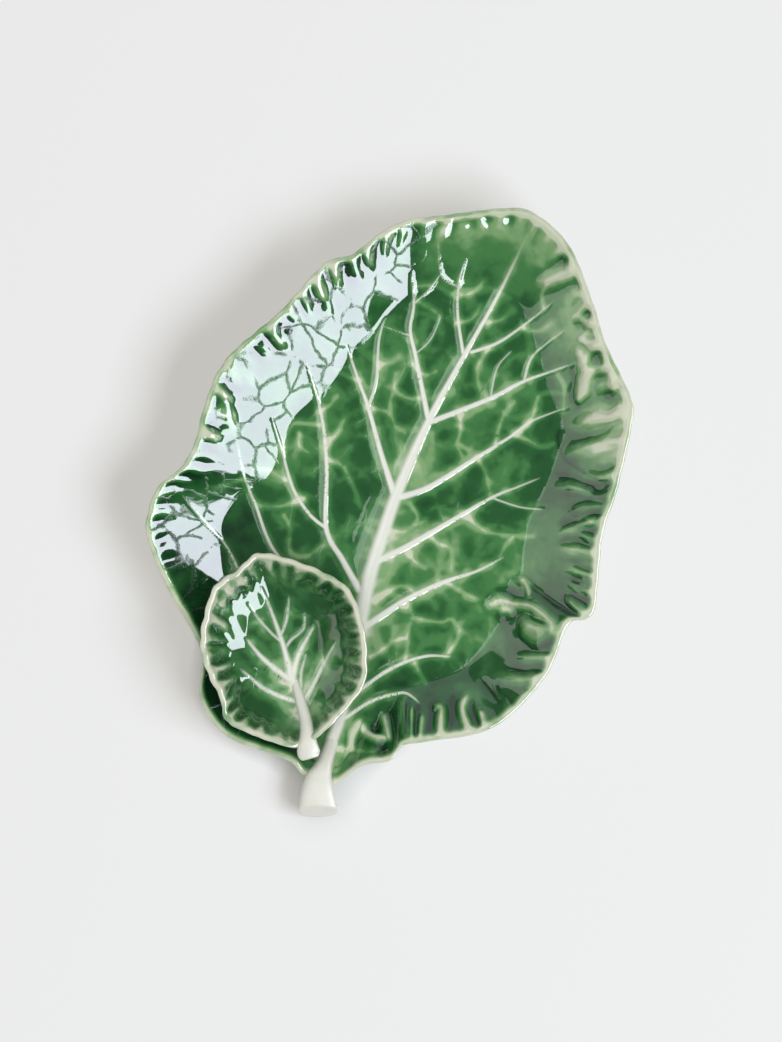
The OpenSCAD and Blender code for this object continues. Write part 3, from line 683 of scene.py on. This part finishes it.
# %% Oval rings along a path
def stalk_points(path, place, around, cut_slant):
    """Path rows: across, along, height, half width, half height. The last row is the cut end."""
    curve = open_curve(path, 12)
    angle = 2 * np.pi * np.arange(around) / around
    rows = []
    for i, (x, y, z, half_w, half_h) in enumerate(curve):
        ahead = curve[min(i + 1, len(curve) - 1), :2] - curve[max(i - 1, 0), :2]
        ahead = ahead / np.hypot(*ahead)
        side = np.array([ahead[1], -ahead[0]])
        xy = np.array([x, y]) + np.cos(angle)[:, None] * half_w * side
        rows.append(np.c_[xy, z + np.sign(np.sin(angle)) * np.abs(np.sin(angle)) ** 0.7 * half_h])
    end = rows[-1]
    middle = curve[-1, :3]
    share = np.linspace(0, 1, len(curve)) ** 4
    for row, part in zip(rows, share):
        row[:, :2] -= part * cut_slant * (row[:, 2:3] - middle[2]) * ahead
    for size, sink in ((0.97, 0.3), (0.9, 0.6), (0.78, 0.8), (0.4, 0.9), (0.0, 0.9)):
        cap = middle + (end - middle) * size
        cap[:, :2] += ahead * sink
        rows.append(cap)
    first = rows[0].mean(0) * np.ones_like(rows[0])
    points = np.array([first] + rows).transpose(1, 0, 2)
    return place(points[..., :2], points[..., 2])


# %% Stalk of the dish
DISH_STALK = [
    [-7.2, 54, 6, 2.8, 2], [-7, 42, 8.2, 3.5, 3.4], [-6.6, 31, 11, 4.2, 5.2],
    [-6.6, 25, 12.2, 5.4, 6.2], [-6.4, 19, 13.2, 7.4, 7], [-4.6, 11.5, 14, 9, 7.4],
    [-1.2, 2.8, 13.4, 10.6, 7.6],
]
stalk = skin("leaf_stalk", stalk_points(DISH_STALK, on_dish, around=64, cut_slant=0.5))
count(stalk)
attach(stalk, "dish")
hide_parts("dish_ribs")

# %% [markdown]
# ## The dip bowl
# The bowl is a second, smaller leaf with a steeper wall, turned by 35 degrees from the dish. It is drawn
# about its own foot, so its place in the dish is one turn and one shift.

# %% Rim and ribs of the bowl
BOWL_RIM = np.array([
    [-8, -52, 0.55], [-1.5, -51, 0.4], [5, -50, 0.55], [20, -42, 0.74], [37, -29, 0.9], [43, -13, 1],
    [45, 2, 1], [43, 22, 1], [31, 36, 1], [14, 48, 1], [0, 54, 1], [-13, 48, 1],
    [-25, 44, 1], [-33, 34, 1], [-41, 17, 1], [-42, 0, 1], [-39, -15, 0.97], [-39, -28, 0.9],
    [-29, -38, 0.8], [-18, -46, 0.7],
])
BOWL_MIDRIB = [
    [1.5, -45, 3], [1.6, -38, 2.8], [1.2, -30, 2.5], [0.4, -12, 2.1], [0.2, 4, 1.6], [-1, 20, 1.1],
    [-3, 36, 0.7],
]
BOWL_RIBS = [
    [[-0.5, 5, 1], [-4, 10, 0.9], [-9, 20, 0.8], [-12, 29, 0.5]],
    [[-1, -16, 2.2], [-7, -9, 2], [-13, 0, 1.5], [-18, 11, 0.8]],
    [[0, -29, 1.8], [-8, -24, 1.6], [-17, -16, 1.4], [-25, -4, 0.8]],
    [[0.5, 8, 1], [6, 16, 0.9], [10, 27, 0.5]],
    [[0.5, 0, 1], [5, 4, 0.9], [13, 8, 0.7], [16, 16, 0.5]],
    [[1, -15, 1.8], [6, -6, 1.7], [12, 1, 1.3], [19, 8, 0.6]],
    [[3, -24, 1], [6, -14, 0.9], [11, -5, 0.6]],
    [[2, -31, 1.6], [8, -25, 1.5], [17, -15, 1.2], [28, -3, 0.6]],
]

# %% Folds of the bowl, and the curl at its tip
BOWL_FOLDS = [
    [[-25, 12, 1.2], [-28, 20, 1.8], [-31, 27, 1.4]], [[-29, 8, 1.2], [-33, 10, 1.6], [-37, 12, 1.2]],
    [[-30, 0, 1.2], [-34, 0, 1.7], [-38, 1, 1.2]], [[-30, -8, 1.2], [-34, -8, 1.6], [-37, -8, 1.2]],
    [[-29, -18, 1.2], [-33, -19, 1.6], [-37, -20, 1.4]], [[-29, -24, 1.2], [-33, -25, 1.6], [-37, -26, 1.4]],
    [[-26, -29, 1.2], [-30, -31, 1.7], [-34, -33, 1.4]], [[-20, -35, 1.2], [-23, -38, 1.8], [-26, -41, 1.4]],
    [[-12, -40, 1.4], [-14, -44, 2.2], [-16, -47, 1.6]], [[-8, -43, 1], [-9, -47, 1.6], [-9, -50, 1.2]],
    [[12, -36, 1], [15, -40, 1.6], [17, -43, 1.2]], [[20, -30, 1], [25, -33, 1.5], [30, -35, 1.2]],
    [[26, -22, 1.2], [31, -25, 1.6], [36, -27, 1.2]], [[31, -15, 1], [35, -17, 1.5], [40, -18, 1.2]],
    [[33, -6, 1], [37, -8, 1.4], [41, -9, 1.2]], [[34, 3, 1], [38, 1, 1.6], [42, 0, 1.2]],
    [[33, 10, 1.2], [37, 9, 1.5], [42, 9, 1.2]], [[32, 20, 1], [36, 20, 1.4], [41, 20, 1.2]],
    [[25, 29, 1], [29, 30, 1.5], [34, 32, 1.2]], [[14, 38, 1], [18, 40, 1.5], [21, 43, 1.2]],
    [[3, 43, 1.2], [5, 46, 1.8], [7, 49, 1.4]],
]
BOWL_CURLS = [[[-25, 33, 1.4], [-19, 39, 2.2], [-9, 42, 1.6]]]

# %% Section of the bowl, its pleats and its seat in the dish
BOWL = {
    "rim": BOWL_RIM, "hub": np.zeros(2), "floor": 8.0, "rise": 28.0, "run": 22.0, "wall": 4.0, "lip": 3.2,
    "slopes": [(0, 0.4), (0.08, 0.66), (0.5, 0.66), (1, 3.2)],
    "under_slopes": [(0, 0), (0.15, 0.8), (0.55, 0.8), (1, 3.2)],
    "spokes": 360, "floor_rings": 14, "wall_rings": 36, "under_rings": 10, "sole_rings": 5,
    "rib_height": 0.6, "fold_height": 0.75, "fold_gain": 1.05,
}
BOWL_PLEATS = [
    [0, 9, 0.4, 9], [0.06, 11, 1.2, 12], [0.3, 12, 1.4, 13], [0.55, 10, 2.3, 13], [0.8, 10, 2.3, 12],
    [0.95, 9, 0.6, 9],
]
BOWL_SEAT = np.array([-48.0, 78.0])
BOWL_TURN = math.radians(35)
SEAT_Z = 9.2


def on_bowl(xy, z):
    """From the bowl's own drawing to its place in the dish."""
    c, s = math.cos(BOWL_TURN), math.sin(BOWL_TURN)
    turned = np.stack([xy[..., 0] * c - xy[..., 1] * s, xy[..., 0] * s + xy[..., 1] * c], axis=-1)
    return on_dish(turned + BOWL_SEAT, z + SEAT_Z)


# %% Bowl piece
BOWL_DRAWN = {
    "ribs": [BOWL_MIDRIB] + BOWL_RIBS, "folds": BOWL_FOLDS, "curls": BOWL_CURLS, "pleats": BOWL_PLEATS,
}
bowl = build_leaf("bowl_blade", BOWL, BOWL_DRAWN, seed=5.0, turn=BOWL_TURN, place=on_bowl)
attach(bowl, "bowl")
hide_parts("dip_bowl")

# %% Stalk of the bowl
BOWL_STALK = [
    [1, -14, 6.2, 1.6, 1.6], [1.3, -22, 8, 2.4, 2.6], [1.5, -30, 10.4, 2.9, 3.6],
    [1.6, -38, 13.4, 3.4, 4.8], [1.1, -44, 16.6, 3.8, 5], [0, -50, 18.8, 4.8, 4.8],
    [-0.9, -54, 19, 5.9, 4.4], [-1.2, -57, 18.2, 6.1, 4], [-1.2, -59, 17.2, 5.2, 3.4],
]
bowl_stalk = skin("bowl_stalk", stalk_points(BOWL_STALK, on_bowl, around=48, cut_slant=0.1))
count(bowl_stalk)
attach(bowl_stalk, "bowl")
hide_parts("bowl_ribs")

# %% [markdown]
# ## Glaze
# The glaze is one glass over one clay. Where it lies thin, on ribs, pleats and the rim, the cream clay
# shows through. Where it pools it is dark. So its thinness is worked out from the values that the relief
# left on the vertices and from a fine net of veins, and each leaf gives it its own greens. Painted light
# rides on the same thinness: painted shade in fold valleys, creases and some pools, and paler walls where
# they face the lamp or mirror the room, as painted light and painted sheen.


# %% Node helpers
def fill(node, values):
    for key, value in values.items():
        node.inputs[key].default_value = value


def add(tree, kind, values=None, **settings):
    made = tree.nodes.new(kind)
    for key, value in settings.items():
        setattr(made, key, value)
    fill(made, values or {})
    return made


def join(tree, source, target):
    tree.links.new(source, target)


def math_node(tree, operation, a, b=None, clamp=False):
    made = add(tree, "ShaderNodeMath", operation=operation, use_clamp=clamp)
    for socket, value in zip(made.inputs, (a, b)):
        if value is None:
            continue
        if isinstance(value, (int, float)):
            socket.default_value = value
        else:
            join(tree, value, socket)
    return made.outputs[0]


def times(tree, a, b):
    return math_node(tree, "MULTIPLY", a, b)


def grain(tree, scale, detail, roughness=0.5):
    """Noise over a piece, tied to its own place."""
    made = add(tree, "ShaderNodeTexNoise", {"Scale": scale, "Detail": detail, "Roughness": roughness})
    join(tree, add(tree, "ShaderNodeTexCoord").outputs["Object"], made.inputs["Vector"])
    return made.outputs["Fac"]


def ramp(tree, factor, stops):
    made = add(tree, "ShaderNodeValToRGB")
    made.color_ramp.interpolation = "EASE"
    elements = made.color_ramp.elements
    while len(elements) < len(stops):
        elements.new(0.5)
    for element, (position, colour) in zip(elements, stops):
        element.position = position
        element.color = (*colour, 1)
    join(tree, factor, made.inputs[0])
    return made.outputs[0]


# %% Net of fine veins, as a group
def bent_place(tree, place, steps):
    """Shifts a place by layers of noise, each with its scale and how far it may shift, in metres."""
    for scale, far in steps:
        drift = add(tree, "ShaderNodeTexNoise", {"Scale": scale, "Detail": 1.0})
        join(tree, place, drift.inputs["Vector"])
        centred = add(tree, "ShaderNodeVectorMath", operation="SUBTRACT")
        centred.inputs[1].default_value = (0.5, 0.5, 0.5)
        join(tree, drift.outputs["Color"], centred.inputs[0])
        shift = add(tree, "ShaderNodeVectorMath", {"Scale": far}, operation="SCALE")
        join(tree, centred.outputs[0], shift.inputs[0])
        moved = add(tree, "ShaderNodeVectorMath", operation="ADD")
        join(tree, place, moved.inputs[0])
        join(tree, shift.outputs[0], moved.inputs[1])
        place = moved.outputs[0]
    return place


def span(tree, value, low, high, to_low, to_high, kind="SMOOTHSTEP"):
    values = {"From Min": low, "From Max": high, "To Min": to_low, "To Max": to_high}
    made = add(tree, "ShaderNodeMapRange", values, interpolation_type=kind)
    join(tree, value, made.inputs["Value"])
    return made.outputs[0]


def vein_net_group():
    """A net of veins over a piece, as soft lines and as sharp crests, with mottling and pooling between."""
    group = bpy.data.node_groups.new("vein_net", "ShaderNodeTree")
    sockets = group.interface
    sockets.new_socket("Cells per metre", in_out="INPUT", socket_type="NodeSocketFloat")
    for name in ("Veins", "Crest", "Mottle", "Pool"):
        sockets.new_socket(name, in_out="OUTPUT", socket_type="NodeSocketFloat")
    inside = add(group, "NodeGroupInput")
    outside = add(group, "NodeGroupOutput")
    place = add(group, "ShaderNodeTexCoord").outputs["Object"]
    bent = bent_place(group, place, [(26.0, 0.022), (90.0, 0.006)])
    cells = add(group, "ShaderNodeTexVoronoi", feature="DISTANCE_TO_EDGE", voronoi_dimensions="2D")
    join(group, bent, cells.inputs["Vector"])
    join(group, inside.outputs["Cells per metre"], cells.inputs["Scale"])
    edge = cells.outputs["Distance"]
    patchy = grain(group, 40.0, 3.0, 0.6)
    ragged = grain(group, 420.0, 3.0, 0.7)
    keep = span(group, patchy, 0.36, 0.6, 0.1, 1.0)
    veins = times(group, span(group, edge, 0.0, 0.30, 1.0, 0.0), keep)
    join(group, veins, outside.inputs["Veins"])
    rough_edge = math_node(group, "ADD", edge, times(group, ragged, 0.16))
    broken = span(group, patchy, 0.41, 0.50, 0.0, 1.0)
    crest = times(group, span(group, rough_edge, 0.06, 0.15, 1.0, 0.0, "LINEAR"), broken)
    join(group, crest, outside.inputs["Crest"])
    join(group, patchy, outside.inputs["Mottle"])
    join(group, span(group, edge, 0.10, 0.45, 0.0, 1.0), outside.inputs["Pool"])
    return group


VEIN_NET = vein_net_group()


# %% Glaze material
def attribute(tree, name):
    return add(tree, "ShaderNodeAttribute", attribute_name=name).outputs["Fac"]


def total(tree, start, parts):
    """Start value plus each socket times its weight."""
    value = start
    for socket, weight in parts:
        value = math_node(tree, "ADD", value, times(tree, socket, weight))
    return value


def new_material(name):
    material = bpy.data.materials.new(name)
    material.use_nodes = True
    return material, material.node_tree, material.node_tree.nodes["Principled BSDF"]


GLASS = {"Roughness": 0.05, "IOR": 1.6, "Coat Weight": 0.5, "Coat Roughness": 0.02}
CREAM = (0.88, 0.89, 0.81, 1)
RIM_WEIGHT = 0.62


def leaf_glaze(name, stops, cells, crest_height, base, core, halo, net_weight, lit, painted_sheen):
    """Glaze over a leaf: its base thinness, the width of a rib's body and halo, and weights for the rest.

    The last two weights paint light: the wall side towards the lamp paler, and the upper right wall paler as
    a painted sheen.
    """
    halo_reach, halo_weight = halo
    material, tree, shader = new_material(name)
    net = add(tree, "ShaderNodeGroup", node_tree=VEIN_NET)
    net.inputs["Cells per metre"].default_value = cells
    tone = grain(tree, 18.0, 2.0)
    off_rib, pale = attribute(tree, "rib"), attribute(tree, "pale")
    glow = times(tree, span(tree, off_rib, 0.5, halo_reach, 1.0, 0.0), pale)
    body = times(tree, span(tree, off_rib, *core, 1.0, 0.0), pale)
    line_weight = math_node(tree, "SUBTRACT", 1.0, times(tree, attribute(tree, "wall"), 2.0))
    line_weight = times(tree, line_weight, attribute(tree, "net"))
    # Thinness with painted light in it: the ridge values carry painted shade in fold valleys, creases and
    # some pools, and the last two weights paint the wall side towards the lamp and the upper right wall
    # paler.
    thin = total(tree, base, [
        (math_node(tree, "SUBTRACT", tone, 0.5), 0.40),
        (math_node(tree, "SUBTRACT", net.outputs["Mottle"], 0.5), 0.80),
        (times(tree, net.outputs["Veins"], line_weight), net_weight),
        (net.outputs["Pool"], -0.06), (attribute(tree, "ridge"), 0.36), (glow, halo_weight),
        (attribute(tree, "vein"), 0.46), (attribute(tree, "rim"), RIM_WEIGHT), (attribute(tree, "lit"), lit),
        (attribute(tree, "painted_sheen"), painted_sheen),
    ])
    thin = math_node(tree, "MULTIPLY", thin, 1.0, clamp=True)
    mix = add(tree, "ShaderNodeMix", data_type="RGBA")
    join(tree, body, mix.inputs["Factor"])
    join(tree, ramp(tree, thin, stops), mix.inputs["A"])
    mix.inputs["B"].default_value = CREAM
    join(tree, mix.outputs["Result"], shader.inputs["Base Color"])
    fill(shader, GLASS)
    bump = add(tree, "ShaderNodeBump", {"Strength": 1.0, "Distance": crest_height})
    bare = times(tree, attribute(tree, "net"), span(tree, off_rib, 1.2, 2.6, 0.0, 1.0))
    bare = times(tree, bare, span(tree, attribute(tree, "wall"), 0.0, 0.2, 0.1, 1.0))
    crest = times(tree, net.outputs["Crest"], bare)
    join(tree, crest, bump.inputs["Height"])
    join(tree, bump.outputs["Normal"], shader.inputs["Normal"])
    join(tree, span(tree, crest, 0.0, 1.0, 0.05, 0.9), shader.inputs["Roughness"])
    join(tree, span(tree, crest, 0.0, 1.0, 0.5, 0.0), shader.inputs["Coat Weight"])
    return material


# %% Greens of the two leaves, from pooled to thin
LEAF_GREENS = [
    (0.0, (0.008, 0.046, 0.016)), (0.25, (0.020, 0.110, 0.030)), (0.5, (0.064, 0.228, 0.068)),
    (0.75, (0.24, 0.43, 0.19)), (1.0, (0.66, 0.71, 0.53)),
]
BOWL_GREENS = [
    (0.0, (0.007, 0.038, 0.012)), (0.27, (0.018, 0.095, 0.026)), (0.52, (0.062, 0.210, 0.066)),
    (0.77, (0.24, 0.43, 0.21)), (1.0, (0.72, 0.74, 0.58)),
]
# Painted light: the bowl's walls towards the lamp and the dish's upper right wall are painted paler.
leaf.data.materials.append(leaf_glaze(
    "leaf_glaze", LEAF_GREENS, cells=70.0, crest_height=0.0006, base=0.32, core=(0.4, 1.15), halo=(4.5, 0.32),
    net_weight=0.14, lit=0.0, painted_sheen=0.52,
))
bowl.data.materials.append(leaf_glaze(
    "bowl_glaze", BOWL_GREENS, cells=90.0, crest_height=0.0003, base=0.36, core=(0.1, 1.7), halo=(9.0, 0.42),
    net_weight=0.16, lit=0.16, painted_sheen=0.0,
))

# %% Cream glaze on the stalks
cream, cream_tree, cream_shader = new_material("cream_glaze")
cloudy = [(0.3, (0.76, 0.755, 0.665)), (0.7, (0.84, 0.835, 0.765))]
cream_colour = ramp(cream_tree, grain(cream_tree, 60.0, 3.0), cloudy)
join(cream_tree, cream_colour, cream_shader.inputs["Base Color"])
fill(cream_shader, {**GLASS, "Roughness": 0.5, "Coat Weight": 0.0})
stalk.data.materials.append(cream)
bowl_stalk.data.materials.append(cream)

# %% Bare clay on the foot rings
clay, clay_tree, clay_shader = new_material("bare_clay")
grit = grain(clay_tree, 900.0, 4.0)
sandy = [(0.3, (0.48, 0.38, 0.25)), (0.7, (0.62, 0.52, 0.38))]
join(clay_tree, ramp(clay_tree, grit, sandy), clay_shader.inputs["Base Color"])
clay_shader.inputs["Roughness"].default_value = 0.85
bump = add(clay_tree, "ShaderNodeBump", {"Strength": 0.6, "Distance": 0.0002})
join(clay_tree, grit, bump.inputs["Height"])
join(clay_tree, bump.outputs["Normal"], clay_shader.inputs["Normal"])
for node in ("dish_foot", "bowl_foot"):
    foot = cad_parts[node]
    foot.data.materials.clear()
    foot.data.materials.append(clay)
print("glazed pieces:", [piece.name for piece in (leaf, stalk, bowl, bowl_stalk)])

# %% [markdown]
# ## Table, light and camera
# The photograph looks straight down on a pale table, with a wide, low window to the lower right. A glaze
# shows mostly what it mirrors, so the window is a real lamp of a real size, and the rest stays plain.
# The table has a lamp of its own, by light linking, and a faint glow that dims close under the dish, so
# the shadow is soft and even.

# %% Table
TABLE_HALF = 6.0
table_mesh = bpy.data.meshes.new("table")
with editing(table_mesh) as bm:
    bmesh.ops.create_grid(bm, x_segments=1, y_segments=1, size=TABLE_HALF)
table = put("table", table_mesh)
paper, paper_tree, paper_shader = new_material("table_white")
fill(paper_shader, {"Base Color": (0.45, 0.45, 0.447, 1), "Roughness": 0.9, "Specular IOR Level": 0.1})
ROOM_GLOW = (0.51, 0.49, 0.465, 1)
under = add(paper_tree, "ShaderNodeAmbientOcclusion", {"Distance": 0.018, "Color": ROOM_GLOW})
join(paper_tree, under.outputs["Color"], paper_shader.inputs["Emission Color"])
paper_shader.inputs["Emission Strength"].default_value = 1.0
table_mesh.materials.append(paper)

only_table = bpy.data.collections.new("only_table")
only_table.objects.link(table)
not_table = bpy.data.collections.new("not_table")
not_table.objects.link(table)
not_table.collection_objects[0].light_linking.link_state = "EXCLUDE"

# %% Window, room and daylight
VIEW_TURN = math.radians(20)
AIM_HEIGHT = 0.03


def lamp(name, bearing, distance, height, width, tall, radiance, colour, mirrored, lights, onto=not_table):
    """A rectangular lamp that faces the dish from a bearing in the picture, 0 to the right and 90 up.

    It can be mirrored in the glaze, or light a collection, or both.
    """
    data = bpy.data.lights.new(name, "AREA")
    data.shape = "RECTANGLE"
    data.size, data.size_y = width, tall
    data.energy = radiance * width * tall * math.pi
    data.color = colour
    light = put(name, data)
    turn = math.radians(bearing) + VIEW_TURN
    light.location = (distance * math.cos(turn), distance * math.sin(turn), height)
    aim = Vector((0, 0, AIM_HEIGHT)) - light.location
    light.rotation_euler = aim.to_track_quat("-Z", "Y").to_euler()
    light.visible_glossy = mirrored
    light.visible_diffuse = lights
    light.light_linking.receiver_collection = onto


lamp("window", -29, 3.0, 0.80, 5.0, 2.20, 10.0, (0.86, 0.90, 1.0), mirrored=True, lights=False)
lamp("room_left", 175, 3.0, 2.0, 4.0, 5.0, 1.2, (1.0, 0.97, 0.94), mirrored=True, lights=False)
lamp("room_far", 100, 3.0, 1.6, 3.2, 3.6, 0.6, (0.92, 0.94, 1.0), mirrored=True, lights=False)
lamp("ceiling_left", 160, 0.75, 2.8, 1.0, 0.6, 1.9, (0.95, 1.0, 1.0), mirrored=True, lights=False)
lamp("daylight", -35, 3.0, 3.0, 1.6, 1.6, 6.2, (0.97, 0.99, 1.0), mirrored=False, lights=True)
lamp("overhead", 0, 0.01, 4.5, 7.0, 7.0, 1.50, (1.0, 1.0, 1.0), mirrored=False, lights=True)
lamp("shadow_light", -25, 4.5, 5.0, 4.75, 3.0, 11.0, (0.84, 0.91, 1.0), mirrored=False, lights=True,
     onto=only_table)
print("lamps:", len(bpy.data.lights))

world = bpy.data.worlds.new("room")
bpy.context.scene.world = world
world.use_nodes = True
world.node_tree.nodes["Background"].inputs["Color"].default_value = (0.12, 0.12, 0.12, 1)

# %% Camera
FRAME_PX = (782, 1042)
MM_PER_PX = 0.535
VIEW_CENTRE = (-17.6, 162.7)
CAMERA_HEIGHT = 2.6
SENSOR_MM = 36.0
camera_data = bpy.data.cameras.new("camera")
camera_data.sensor_fit = "VERTICAL"
camera_data.sensor_height = SENSOR_MM
camera_data.lens = SENSOR_MM * (CAMERA_HEIGHT - AIM_HEIGHT) / (FRAME_PX[1] * MM_PER_PX * MM)
camera = put("camera", camera_data)
camera.location = ((VIEW_CENTRE[0] - DISH_MID[0]) * MM, (VIEW_CENTRE[1] - DISH_MID[1]) * MM, CAMERA_HEIGHT)
camera.rotation_euler = (0, 0, VIEW_TURN)
bpy.context.scene.camera = camera
bpy.context.scene.view_settings.view_transform = "Standard"
print("lens, mm:", round(camera_data.lens, 1))
